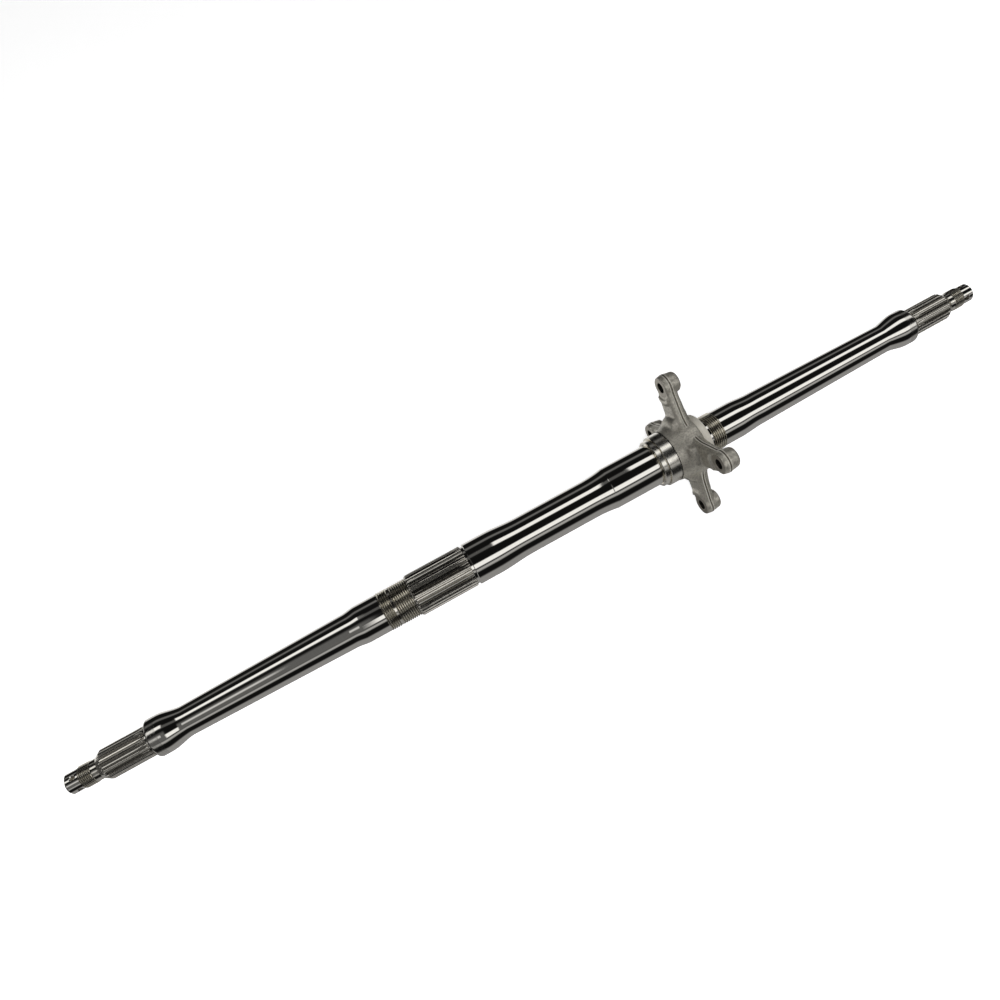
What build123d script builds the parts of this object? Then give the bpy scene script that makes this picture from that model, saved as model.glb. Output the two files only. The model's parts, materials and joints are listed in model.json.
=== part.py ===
"""Splined rear axle shaft with its four-armed sprocket hub.

Frame: the axle axis is X, +Z is up, and the origin is on the axis in the plane of
the spot faces the sprocket bolts against.  Millimetres.
"""
import math
import os

from build123d import *

# ---------------------------------------------------------------- wheel ends
LEFT_SHOULDER = -533.9               # outer face of the left collar
RIGHT_SHOULDER = 262.5               # outer face of the right collar
STUB_R = 9.05
STUB_LENGTH = 12.2
STUB_CHAMFER = 1.6
PIN_HOLE_R = 2.0
PIN_SINK_R = 2.8
PIN_SINK_DEPTH = 0.8
PIN_FROM_END = 8.0
PIN_TURN_LEFT = -5.6                 # turn of the pin holes about the axis, degrees
PIN_TURN_RIGHT = 57.0
END_THREAD_R = 10.0
END_THREAD_LENGTH = 11.6
END_THREAD_CHAMFER = 0.9
NECK_R = 9.45
NECK_LENGTH = 5.6
WHEEL_SPLINE_R = 13.65
WHEEL_SPLINE_ROOT_R = 12.4
WHEEL_SPLINE_TEETH = 27
WHEEL_SPLINE_LENGTH = 44.0
WHEEL_SPLINE_LEAD = 5.2
WHEEL_SPLINE_LEAD_R = 10.3
WHEEL_RELIEF_LENGTH = 2.4
WHEEL_RELIEF_R = 12.2
COLLAR_R = 17.35
COLLAR_CORNER = 2.6
COLLAR_BAND = 9.8
COLLAR_SWEEP = 22.0
TAPER_SMALL_R = 13.7

# ---------------------------------------------------------------- bars and seats
TAPER_LARGE_R = 16.2
SEAT_R = 17.75
LOCK_R = 18.5
LOCK_CHAMFER = 0.6
LEFT_TAPER_END = -349.0
LEFT_SEAT_START = -335.3
LEFT_SEAT_END = -314.2
LEFT_GROOVE_START = -304.3
LEFT_GROOVE_END = -302.4
LOCK_GROOVE_R = 17.8
RIGHT_LOCK_START = 25.5
RIGHT_LOCK_END = 38.3
RIGHT_SEAT_END = 57.5
RIGHT_TAPER_START = 82.0
LOCK_RELIEF_R = 17.6

# ---------------------------------------------------------------- splines and journals
BIG_SPLINE_R = 19.8
BIG_SPLINE_ROOT_R = 18.55
BIG_SPLINE_TEETH = 36
BIG_SPLINE_START = -285.2
BIG_SPLINE_END = -228.4
BIG_SPLINE_LEAD = 1.8
SPLINE_RELIEF_R = 18.4
JOURNAL_R = 20.0
JOURNAL_EDGE = 0.5
LEFT_JOURNAL_START = -226.3
LEFT_JOURNAL_END = -204.7
MIDDLE_R = 18.05
MIDDLE_START = -171.0
MIDDLE_END = -103.0
RIGHT_JOURNAL_START = -82.0
RIGHT_JOURNAL_LIP_R = 19.75
UNDERCUT_START = -34.6
UNDERCUT_END = -31.4
UNDERCUT_R = 19.2
HUB_SHOULDER = -20.0                 # the hub seats against this end of the journal
HUB_SPLINE_START = -17.5
HUB_SPLINE_END = 18.0

# ---------------------------------------------------------------- sprocket hub
BORE_CLEARANCE = 0.05
SPLINE_CLEARANCE = 0.08
NOSE_START = -32.5
NOSE_END = -27.9
NOSE_R = 23.0
NOSE_GROOVE_R = 22.2
MACHINED_START = -27.2
MACHINED_END = -16.4
MACHINED_R = 25.0
CAST_GROOVE_R = 24.3
CAST_START = -15.4
CAST_R = 25.6
CAST_WAIST_R = 28.2
CAST_WEB_R = 28.9
BAND_START = 13.0
BAND_R = 25.0
HUB_END = 20.8
HUB_EDGE = 0.5
BOLT_CIRCLE_R = 63.5
BOLT_HOLE_R = 5.0
ARM_COUNT = 4
ARM_ANGLE = 45.0
ARM_LEFT = -0.5
ARM_RIGHT = 12.6
ARM_RIGHT_TIP = 11.0
ARM_THIN_R = 52.0
ARM_PARTING = 5.6
ARM_DRAFT = 5.0
ARM_TIP_HALF = 9.9
ARM_ROOT_HALF = 14.2
ARM_WEB_FILLET = 27.0
ARM_BLEND = 7.0
ARM_EDGE = 2.4
BOSS_R = 11.0
BOSS_FACE_R = 10.0
BOSS_END_R = 9.5
BOSS_END = 16.3
SPOT_R = 12.2
PAD_FROM_HOLE = 16.5
PAD_HALF = 8.6
PAD_CORNER = 6.0
PAD_FACE = -1.7
BASE = (Align.CENTER, Align.CENTER, Align.MIN)


def collar_sweep(outer_x, inward):
    """Return the points of the concave sweep from a collar down to the tapered bar."""
    top = outer_x + inward * COLLAR_BAND
    foot = top + inward * COLLAR_SWEEP
    return (top, COLLAR_R), (foot, TAPER_SMALL_R)


def wheel_end_outline(shoulder, outward):
    """Draw one wheel end from its tip to its collar; outward is -1 or +1 along X."""
    relief = shoulder + outward * WHEEL_RELIEF_LENGTH
    tooth_end = relief + outward * WHEEL_SPLINE_LENGTH
    neck_end = tooth_end + outward * NECK_LENGTH
    thread_end = neck_end + outward * END_THREAD_LENGTH
    tip = thread_end + outward * STUB_LENGTH
    return [
        (tip, 0.0),
        (tip, STUB_R - STUB_CHAMFER),
        (tip - outward * STUB_CHAMFER, STUB_R),
        (thread_end, STUB_R),
        (thread_end - outward * END_THREAD_CHAMFER, END_THREAD_R),
        (neck_end, END_THREAD_R),
        (neck_end - outward * 0.5, NECK_R),
        (tooth_end, NECK_R),
        (tooth_end, WHEEL_SPLINE_LEAD_R),
        (tooth_end - outward * WHEEL_SPLINE_LEAD, WHEEL_SPLINE_R),
        (relief, WHEEL_SPLINE_R),
        (relief, WHEEL_RELIEF_R),
        (shoulder, WHEEL_RELIEF_R),
        (shoulder, COLLAR_R - COLLAR_CORNER),
    ]


def tip_x(shoulder, outward):
    """Return the X of the tip of one wheel end."""
    length = WHEEL_RELIEF_LENGTH + WHEEL_SPLINE_LENGTH + NECK_LENGTH
    return shoulder + outward * (length + END_THREAD_LENGTH + STUB_LENGTH)


def draw_wheel_end(shoulder, outward):
    """Draw a wheel end, the rounded corner of its collar, the band and the sweep."""
    Polyline(*wheel_end_outline(shoulder, outward))
    corner = (shoulder - outward * COLLAR_CORNER, COLLAR_R)
    RadiusArc((shoulder, COLLAR_R - COLLAR_CORNER), corner, outward * -COLLAR_CORNER)
    top, foot = collar_sweep(shoulder, -outward)
    Line(corner, top)
    flat = (-outward, 0.0)
    Spline(top, foot, tangents=(flat, flat))


def shaft_outline():
    """Draw the closed half section of the whole shaft."""
    draw_wheel_end(LEFT_SHOULDER, -1)
    draw_wheel_end(RIGHT_SHOULDER, 1)
    left_foot = collar_sweep(LEFT_SHOULDER, 1)[1]
    right_foot = collar_sweep(RIGHT_SHOULDER, -1)[1]
    Line(left_foot, (LEFT_TAPER_END, TAPER_LARGE_R))
    flat = (1.0, 0.0)
    Spline((LEFT_TAPER_END, TAPER_LARGE_R), (LEFT_SEAT_START, SEAT_R), tangents=(flat, flat))
    Polyline(
        (LEFT_SEAT_START, SEAT_R),
        (LEFT_SEAT_END, SEAT_R),
        (LEFT_SEAT_END + LOCK_CHAMFER, LOCK_R),
        (LEFT_GROOVE_START - LOCK_CHAMFER, LOCK_R),
        (LEFT_GROOVE_START, LOCK_GROOVE_R),
        (LEFT_GROOVE_END, LOCK_GROOVE_R),
        (LEFT_GROOVE_END + LOCK_CHAMFER, LOCK_R),
        (BIG_SPLINE_START, LOCK_R),
        (BIG_SPLINE_START + BIG_SPLINE_LEAD, BIG_SPLINE_R),
        (BIG_SPLINE_END - JOURNAL_EDGE, BIG_SPLINE_R),
        (BIG_SPLINE_END, SPLINE_RELIEF_R),
        (LEFT_JOURNAL_START, SPLINE_RELIEF_R),
        (LEFT_JOURNAL_START, JOURNAL_R - JOURNAL_EDGE),
        (LEFT_JOURNAL_START + JOURNAL_EDGE, JOURNAL_R),
        (LEFT_JOURNAL_END, JOURNAL_R),
    )
    Spline((LEFT_JOURNAL_END, JOURNAL_R), (MIDDLE_START, MIDDLE_R), tangents=(flat, flat))
    Line((MIDDLE_START, MIDDLE_R), (MIDDLE_END, MIDDLE_R))
    steep = (1.0, 0.16)
    lip = (RIGHT_JOURNAL_START, RIGHT_JOURNAL_LIP_R)
    Spline((MIDDLE_END, MIDDLE_R), lip, tangents=(flat, steep))
    Polyline(
        lip,
        (RIGHT_JOURNAL_START + JOURNAL_EDGE, JOURNAL_R),
        (UNDERCUT_START, JOURNAL_R),
        (UNDERCUT_START + JOURNAL_EDGE, UNDERCUT_R),
        (UNDERCUT_END - JOURNAL_EDGE, UNDERCUT_R),
        (UNDERCUT_END, JOURNAL_R),
        (HUB_SHOULDER, JOURNAL_R),
        (HUB_SHOULDER, SPLINE_RELIEF_R),
        (HUB_SPLINE_START, SPLINE_RELIEF_R),
        (HUB_SPLINE_START, BIG_SPLINE_R),
        (HUB_SPLINE_END, BIG_SPLINE_R),
        (HUB_SPLINE_END, LOCK_RELIEF_R),
        (RIGHT_LOCK_START, LOCK_RELIEF_R),
        (RIGHT_LOCK_START + LOCK_CHAMFER, LOCK_R),
        (RIGHT_LOCK_END - LOCK_CHAMFER, LOCK_R),
        (RIGHT_LOCK_END, SEAT_R),
        (RIGHT_SEAT_END, SEAT_R),
    )
    Spline((RIGHT_SEAT_END, SEAT_R), (RIGHT_TAPER_START, TAPER_LARGE_R), tangents=(flat, flat))
    Line((RIGHT_TAPER_START, TAPER_LARGE_R), right_foot)
    Line((tip_x(RIGHT_SHOULDER, 1), 0.0), (tip_x(LEFT_SHOULDER, -1), 0.0))


def spline_gaps(start, end, major_r, root_r, teeth):
    """Cut the gaps between straight spline teeth from start to end."""
    pitch = 2 * math.pi / teeth
    root = root_r * pitch * 0.17
    rim = major_r * pitch * 0.33
    over = 1.0
    top = rim + (rim - root) / (major_r - root_r) * over
    outer = major_r + over
    with BuildSketch(Plane.YZ.offset(start)) as gaps:
        with PolarLocations(0, teeth):
            Polygon((root_r, -root), (outer, -top), (outer, top), (root_r, root), align=None)
    extrude(gaps.sketch, amount=end - start, mode=Mode.SUBTRACT)


def pin_holes(station, turn):
    """Drill the two crossing split pin holes at one station, with their sinks."""
    for quarter in (0, 90):
        angle = math.radians(turn + quarter)
        for side in (1, -1):
            out = (0, side * math.cos(angle), side * math.sin(angle))
            hole = Plane(origin=(station, 0, 0), x_dir=(1, 0, 0), z_dir=out)
            with Locations(hole):
                Cylinder(PIN_HOLE_R, STUB_R + 1, align=BASE, mode=Mode.SUBTRACT)
            with Locations(hole.offset(STUB_R - PIN_SINK_DEPTH)):
                Cone(PIN_HOLE_R, PIN_SINK_R, PIN_SINK_DEPTH, align=BASE, mode=Mode.SUBTRACT)


def build_shaft():
    """Turn the shaft, cut its splines and drill its pin holes."""
    with BuildPart() as axle_shaft:
        with BuildSketch(Plane.XZ) as profile:
            with BuildLine():
                shaft_outline()
            make_face()
        revolve(profile.sketch, axis=Axis.X)
        left_relief = LEFT_SHOULDER - WHEEL_RELIEF_LENGTH
        right_relief = RIGHT_SHOULDER + WHEEL_RELIEF_LENGTH
        reach = WHEEL_SPLINE_LENGTH + 1.0
        wheel = (WHEEL_SPLINE_R, WHEEL_SPLINE_ROOT_R, WHEEL_SPLINE_TEETH)
        big = (BIG_SPLINE_R, BIG_SPLINE_ROOT_R, BIG_SPLINE_TEETH)
        spline_gaps(left_relief - reach, left_relief + 0.5, *wheel)
        spline_gaps(right_relief - 0.5, right_relief + reach, *wheel)
        spline_gaps(BIG_SPLINE_START - 1.0, BIG_SPLINE_END + 0.5, *big)
        spline_gaps(HUB_SPLINE_START - 0.5, HUB_SPLINE_END + 1.0, *big)
        pin_holes(tip_x(LEFT_SHOULDER, -1) + PIN_FROM_END, PIN_TURN_LEFT)
        pin_holes(tip_x(RIGHT_SHOULDER, 1) - PIN_FROM_END, PIN_TURN_RIGHT)
    axle_shaft.part.label = "axle_shaft"
    return axle_shaft.part


def spider_outline():
    """Draw the four arms with their wide webs, in the plane of the parting line."""
    with PolarLocations(0, ARM_COUNT, start_angle=ARM_ANGLE):
        Polygon(
            (0, -ARM_ROOT_HALF),
            (BOLT_CIRCLE_R, -ARM_TIP_HALF),
            (BOLT_CIRCLE_R, ARM_TIP_HALF),
            (0, ARM_ROOT_HALF),
            align=None,
        )
    inner = [v for v in vertices() if math.hypot(v.X, v.Y) < 30]
    fillet(inner, radius=ARM_WEB_FILLET)


def spider_side():
    """Draw the side section that thins the arms outside the barrel."""
    low = CAST_WAIST_R - 1.2
    with BuildLine() as side:
        Polyline(
            (ARM_LEFT - ARM_BLEND, 0),
            (ARM_LEFT - ARM_BLEND, low),
        )
        RadiusArc((ARM_LEFT - ARM_BLEND, low), (ARM_LEFT, low + ARM_BLEND), ARM_BLEND)
        Polyline(
            (ARM_LEFT, low + ARM_BLEND),
            (ARM_LEFT, BOLT_CIRCLE_R * 1.4),
            (ARM_RIGHT_TIP, BOLT_CIRCLE_R * 1.4),
            (ARM_RIGHT_TIP, ARM_THIN_R),
            (ARM_RIGHT, CAST_WEB_R),
            (ARM_RIGHT, 0),
            (ARM_LEFT - ARM_BLEND, 0),
        )
    make_face(side.line)


def barrel_side():
    """Draw the half section of the turned nose, the cast barrel and the right band."""
    with BuildLine() as side:
        Polyline(
            (NOSE_START, 0),
            (NOSE_START, NOSE_R - HUB_EDGE),
            (NOSE_START + HUB_EDGE, NOSE_R),
            (NOSE_END, NOSE_R),
            (NOSE_END, NOSE_GROOVE_R),
            (MACHINED_START, NOSE_GROOVE_R),
            (MACHINED_START, MACHINED_R - HUB_EDGE),
            (MACHINED_START + HUB_EDGE, MACHINED_R),
            (MACHINED_END, MACHINED_R),
            (MACHINED_END, CAST_GROOVE_R),
            (CAST_START, CAST_GROOVE_R),
            (CAST_START, CAST_R),
        )
        web = (ARM_LEFT, CAST_WEB_R)
        Spline((CAST_START, CAST_R), web, tangents=((1, 0.12), (1, 0.12)))
        Polyline(
            web,
            (ARM_RIGHT, CAST_WEB_R),
            (BAND_START, BAND_R),
            (HUB_END - HUB_EDGE, BAND_R),
            (HUB_END, BAND_R - HUB_EDGE),
            (HUB_END, 0),
            (NOSE_START, 0),
        )
    make_face(side.line)


def hub_bore():
    """Cut the plain counterbore, the splined bore and the right hand relief."""
    pitch = 2 * math.pi / BIG_SPLINE_TEETH
    tip_r = BIG_SPLINE_ROOT_R + SPLINE_CLEARANCE
    outer_r = BIG_SPLINE_R + SPLINE_CLEARANCE
    tip = BIG_SPLINE_ROOT_R * pitch * 0.33 + SPLINE_CLEARANCE
    rim = BIG_SPLINE_R * pitch * 0.17 + SPLINE_CLEARANCE
    with BuildSketch(Plane.YZ.offset(HUB_SHOULDER)) as toothed:
        Circle(tip_r)
        with PolarLocations(0, BIG_SPLINE_TEETH, start_angle=180 / BIG_SPLINE_TEETH):
            Polygon((tip_r - 0.1, -tip), (outer_r, -rim), (outer_r, rim), (tip_r - 0.1, tip), align=None)
    extrude(toothed.sketch, amount=HUB_END - HUB_SHOULDER, mode=Mode.SUBTRACT)
    with BuildSketch(Plane.YZ.offset(NOSE_START)) as plain:
        Circle(JOURNAL_R + BORE_CLEARANCE)
    extrude(plain.sketch, amount=HUB_SHOULDER - NOSE_START, mode=Mode.SUBTRACT)
    with BuildSketch(Plane.YZ.offset(HUB_SPLINE_END)) as relief:
        Circle(BIG_SPLINE_R + 0.4)
    extrude(relief.sketch, amount=HUB_END - HUB_SPLINE_END, mode=Mode.SUBTRACT)


def boss_side():
    """Draw the half section of a boss: drafted both ways from the parting line."""
    with BuildLine() as side:
        Polyline(
            (ARM_LEFT, 0),
            (ARM_LEFT, BOSS_FACE_R),
            (ARM_PARTING, BOSS_R),
            (BOSS_END - 1.0, BOSS_END_R),
            (BOSS_END, BOSS_END_R - 1.0),
            (BOSS_END, 0),
            (ARM_LEFT, 0),
        )
    make_face(side.line)


def cast_pad():
    """Draw the raised pad inboard of a bolt hole; the sketch X axis points outboard."""
    with Locations((-PAD_FROM_HOLE / 2, 0)):
        Rectangle(PAD_FROM_HOLE, PAD_HALF * 2)
    fillet([v for v in vertices() if v.X < -PAD_FROM_HOLE + 1], radius=PAD_CORNER)


def arm_centre(index):
    """Return the Y and Z of one bolt hole."""
    angle = math.radians(ARM_ANGLE + index * 360 / ARM_COUNT)
    return BOLT_CIRCLE_R * math.cos(angle), BOLT_CIRCLE_R * math.sin(angle)


def drafted_side(outline, depth, beyond, way):
    """Raise one side of the spider: draft, then a rounded edge, then its root."""
    steps = (
        (depth - ARM_EDGE, ARM_DRAFT),
        (ARM_EDGE * 0.6, 28.0),
        (ARM_EDGE * 0.4, 55.0),
        (beyond, ARM_DRAFT),
    )
    face = outline
    for height, taper in steps:
        extrude(face, amount=height if face is not outline else way * height, taper=taper)
        face = faces().sort_by(Axis.X)[-1 if way > 0 else 0]


def build_hub():
    """Shape the cast spider, add the barrel and the bosses, then machine it."""
    with BuildPart() as sprocket_hub:
        with BuildSketch(Plane.YZ.offset(ARM_PARTING)) as outline:
            spider_outline()
        drafted_side(outline.sketch, ARM_PARTING - ARM_LEFT, ARM_BLEND + 1, -1)
        drafted_side(outline.sketch, ARM_RIGHT_TIP - ARM_PARTING, ARM_RIGHT - ARM_RIGHT_TIP + 1, 1)
        with BuildSketch(Plane.XZ) as thickness:
            spider_side()
        revolve(thickness.sketch, axis=Axis.X, mode=Mode.INTERSECT)
        for index in range(ARM_COUNT):
            y, z = arm_centre(index)
            through = Plane(origin=(0, y, z), x_dir=(1, 0, 0), z_dir=(0, -1, 0))
            with BuildSketch(through) as boss:
                boss_side()
            revolve(boss.sketch, axis=Axis((0, y, z), (1, 0, 0)))
            out = (0, y / BOLT_CIRCLE_R, z / BOLT_CIRCLE_R)
            seat = Plane(origin=(ARM_LEFT + 0.4, y, z), x_dir=out, z_dir=(-1, 0, 0))
            with BuildSketch(seat) as pad:
                cast_pad()
            extrude(pad.sketch, amount=ARM_LEFT + 0.4 - PAD_FACE)
        with BuildSketch(Plane.XZ) as barrel:
            barrel_side()
        revolve(barrel.sketch, axis=Axis.X)
        hub_bore()
        for index in range(ARM_COUNT):
            y, z = arm_centre(index)
            with BuildSketch(Plane.YZ.offset(PAD_FACE - 1)) as hole:
                with Locations((y, z)):
                    Circle(BOLT_HOLE_R)
            extrude(hole.sketch, amount=BOSS_END - PAD_FACE + 2, mode=Mode.SUBTRACT)
            with BuildSketch(Plane.YZ.offset(PAD_FACE - 1)) as spot:
                with Locations((y, z)):
                    Circle(SPOT_R)
            extrude(spot.sketch, amount=1 - PAD_FACE, mode=Mode.SUBTRACT)
    sprocket_hub.part.label = "sprocket_hub"
    return sprocket_hub.part


os.makedirs("parts", exist_ok=True)
export_step(build_shaft(), "parts/axle_shaft.step")
export_step(build_hub(), "parts/sprocket_hub.step")
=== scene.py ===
"""Splined rear axle with its four-armed sprocket hub, dressed for a studio render.

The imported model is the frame: X runs along the axle, +Z is up and the origin lies in
the plane of the hub's spot faces.  Sizes are in millimetres, apart from the lamp's and
the camera's, and MM turns them into metres.
"""

import json
import logging
import math
from dataclasses import dataclass, field
from enum import Enum
from typing import Optional

import bpy
import numpy as np
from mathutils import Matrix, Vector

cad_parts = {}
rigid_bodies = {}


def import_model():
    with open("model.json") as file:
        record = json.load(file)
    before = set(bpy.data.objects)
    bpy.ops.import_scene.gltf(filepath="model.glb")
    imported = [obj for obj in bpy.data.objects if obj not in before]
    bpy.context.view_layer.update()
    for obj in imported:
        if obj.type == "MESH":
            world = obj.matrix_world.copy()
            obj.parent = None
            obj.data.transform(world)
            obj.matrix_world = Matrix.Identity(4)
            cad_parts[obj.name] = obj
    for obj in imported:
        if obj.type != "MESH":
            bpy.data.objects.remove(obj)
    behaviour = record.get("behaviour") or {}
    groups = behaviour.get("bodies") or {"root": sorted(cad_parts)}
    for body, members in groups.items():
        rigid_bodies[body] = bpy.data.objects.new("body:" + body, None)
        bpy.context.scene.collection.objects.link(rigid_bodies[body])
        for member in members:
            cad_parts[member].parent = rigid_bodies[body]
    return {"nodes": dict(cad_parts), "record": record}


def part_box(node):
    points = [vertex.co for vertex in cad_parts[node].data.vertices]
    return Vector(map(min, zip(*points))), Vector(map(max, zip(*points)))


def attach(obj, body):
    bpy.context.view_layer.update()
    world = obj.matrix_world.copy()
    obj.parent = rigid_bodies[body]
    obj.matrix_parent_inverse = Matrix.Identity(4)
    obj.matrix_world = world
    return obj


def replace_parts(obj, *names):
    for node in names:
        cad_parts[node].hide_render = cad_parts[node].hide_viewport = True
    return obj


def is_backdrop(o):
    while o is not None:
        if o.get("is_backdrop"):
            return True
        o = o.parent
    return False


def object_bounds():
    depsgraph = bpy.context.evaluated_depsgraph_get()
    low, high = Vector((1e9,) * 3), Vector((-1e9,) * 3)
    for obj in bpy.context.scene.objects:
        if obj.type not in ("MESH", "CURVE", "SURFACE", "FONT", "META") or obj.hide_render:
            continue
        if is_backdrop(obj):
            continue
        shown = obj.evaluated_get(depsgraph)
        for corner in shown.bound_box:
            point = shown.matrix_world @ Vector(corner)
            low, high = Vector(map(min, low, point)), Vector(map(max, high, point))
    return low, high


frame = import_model()
LOG = logging.getLogger("axle")
MM = 0.001
TAU = 2 * math.pi
RING_STRETCH = 0.04  # the rings' noise changes this much more slowly round the axle
BROADER = 1.7  # how much coarser the noise of the colour is than that of the bumps
SHADE_RAMP = (0.3, 0.65)  # noise levels where the colour is darkest and full
ROUGH_RANGE = (0.3, 0.7)  # noise levels where the roughness is highest and lowest
OPEN_SKY = (0.5, 0.97)  # shares of open sky between which the painted shade of creases is deepest and fades out


# ------------------------------------------------------------------ materials
class Grain(Enum):
    """How the last process left a surface."""

    RINGS = "fine rings round the axle"
    PEBBLE = "blasted skin of a casting"


@dataclass(frozen=True)
class Finish:
    """A real material and the process that made its surface.

    Attributes:
        name: the material's name in the scene.
        tint: its colour as an sRGB hex string.
        roughness: the mean roughness.
        spread: how far the roughness wanders either way.
        grain: the kind of surface texture.
        grain_mm: the size of one grain, or the pitch of the rings.
        depth_mm: the height of that texture.
        shade: the share of the colour that the darkest patches keep.
        metallic: 1 for bare metal.
        crease_shade: how much of its colour is taken away as painted shade in a deep hollow.
        crease_shade_mm: how wide a hollow is that this painted shade can fill.
    """

    name: str
    tint: str
    roughness: float
    spread: float
    grain: Grain
    grain_mm: float
    depth_mm: float
    shade: float = 0.9
    metallic: float = 1.0
    # The last two fields paint shade: the colour darkens where little sky is open round a point.
    crease_shade: float = 0.0
    crease_shade_mm: float = 20.0


CHROMED = Finish(
    "hard_chrome_on_ground_steel", "#E6E3DC", 0.045, 0.015, Grain.RINGS, 0.9, 0.0006, 0.97
)
GROUND = Finish("steel_cylindrically_ground", "#D8D5CE", 0.15, 0.04, Grain.RINGS, 0.5, 0.002)
CUT = Finish(
    "steel_cut_spline_teeth",
    "#E8E4DA",
    0.15,
    0.03,
    Grain.RINGS,
    1.2,
    0.0005,
    # painted shade in the floors of the tooth gaps
    crease_shade=0.6,
    crease_shade_mm=2.2,
)
THREADED = Finish(
    "steel_rolled_thread",
    "#EDE8DA",
    0.22,
    0.04,
    Grain.RINGS,
    1.2,
    0.0005,
    # painted shade in the roots of the thread
    crease_shade=0.6,
    crease_shade_mm=1.2,
)
TURNED = Finish("cast_steel_fine_turned", "#F3EFE5", 0.22, 0.03, Grain.RINGS, 0.6, 0.0005, 0.94)
FACED = Finish(
    "cast_steel_faced_matt", "#E0DBCE", 0.42, 0.06, Grain.PEBBLE, 0.6, 0.006, 0.88, 0.25
)
SPOTTED = Finish(
    "cast_steel_spot_faced", "#B4AEA2", 0.38, 0.06, Grain.PEBBLE, 0.6, 0.006, 0.8, 0.8
)
# The near black tint is painted shade inside the bolt holes.
DRILLED_SHADE = Finish(
    "cast_steel_drilled_painted_shade", "#2E2B27", 0.4, 0.06, Grain.RINGS, 0.6, 0.006, 0.8, 0.8
)
# The ridges are real flash; their pale tint is a painted highlight along them.
RIDGED = Finish(
    "cast_steel_flash_ridge_painted_highlight", "#E9E5DA", 0.35, 0.05, Grain.PEBBLE, 0.8, 0.03, 0.85, 0.35
)
# The dark tint is painted shade in the groove between the two flash ridges.
SEAM_SHADE = Finish(
    "cast_steel_seam_painted_shade", "#6A645A", 0.5, 0.05, Grain.PEBBLE, 0.8, 0.02, 0.8, 0.6
)
BLASTED = Finish(
    "cast_steel_shot_blasted",
    "#DCD7CA",
    0.4,
    0.08,
    Grain.PEBBLE,
    1.0,
    0.26,
    0.66,
    0.8,
    # painted shade in the roots of the arms and the other hollows
    crease_shade=0.95,
)


def linear(tint: str, share: float = 1.0) -> tuple:
    """Turn an sRGB hex colour into linear RGBA.

    Args:
        tint: the colour, as in "#C0C0C0".
        share: a factor on the linear value.

    Returns:
        Four floats; a channel c maps to ((c + 0.055) / 1.055) to the power 2.4.
    """
    parts = [int(tint[i : i + 2], 16) / 255 for i in (1, 3, 5)]
    return tuple(share * (((c + 0.055) / 1.055) ** 2.4) for c in parts) + (1.0,)


def add_node(
    tree: bpy.types.NodeTree,
    kind: str,
    settings: Optional[dict] = None,
    inputs: Optional[dict] = None,
) -> bpy.types.Node:
    """Add one shader node.

    Args:
        tree: the node tree.
        kind: the node's type name.
        settings: properties to set on it.
        inputs: for each input, a value or the output socket that feeds it.

    Returns:
        The new node.
    """
    node = tree.nodes.new(kind)
    for key, value in (settings or {}).items():
        setattr(node, key, value)
    for key, value in (inputs or {}).items():
        if isinstance(value, bpy.types.NodeSocket):
            tree.links.new(value, node.inputs[key])
        else:
            node.inputs[key].default_value = value
    return node


def blank_material(name: str) -> tuple:
    """Return a new material with an empty node tree, and that tree."""
    material = bpy.data.materials.new(name)
    material.use_nodes = True
    material.node_tree.nodes.clear()
    return material, material.node_tree


def noise(
    tree: bpy.types.NodeTree, place: bpy.types.NodeSocket, grain_mm: float, detail: float
) -> bpy.types.NodeSocket:
    """Add a noise texture with features about grain_mm wide, and return its level."""
    return add_node(
        tree,
        "ShaderNodeTexNoise",
        inputs={"Vector": place, "Scale": 1 / (grain_mm * MM), "Detail": detail},
    ).outputs["Fac"]


def remap(
    tree: bpy.types.NodeTree, value: bpy.types.NodeSocket, taken: tuple, given: tuple
) -> bpy.types.NodeSocket:
    """Add a straight map from the range taken to the range given, and return its result."""
    return add_node(
        tree,
        "ShaderNodeMapRange",
        inputs={
            "Value": value,
            "From Min": taken[0],
            "From Max": taken[1],
            "To Min": given[0],
            "To Max": given[1],
        },
    ).outputs["Result"]


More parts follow.
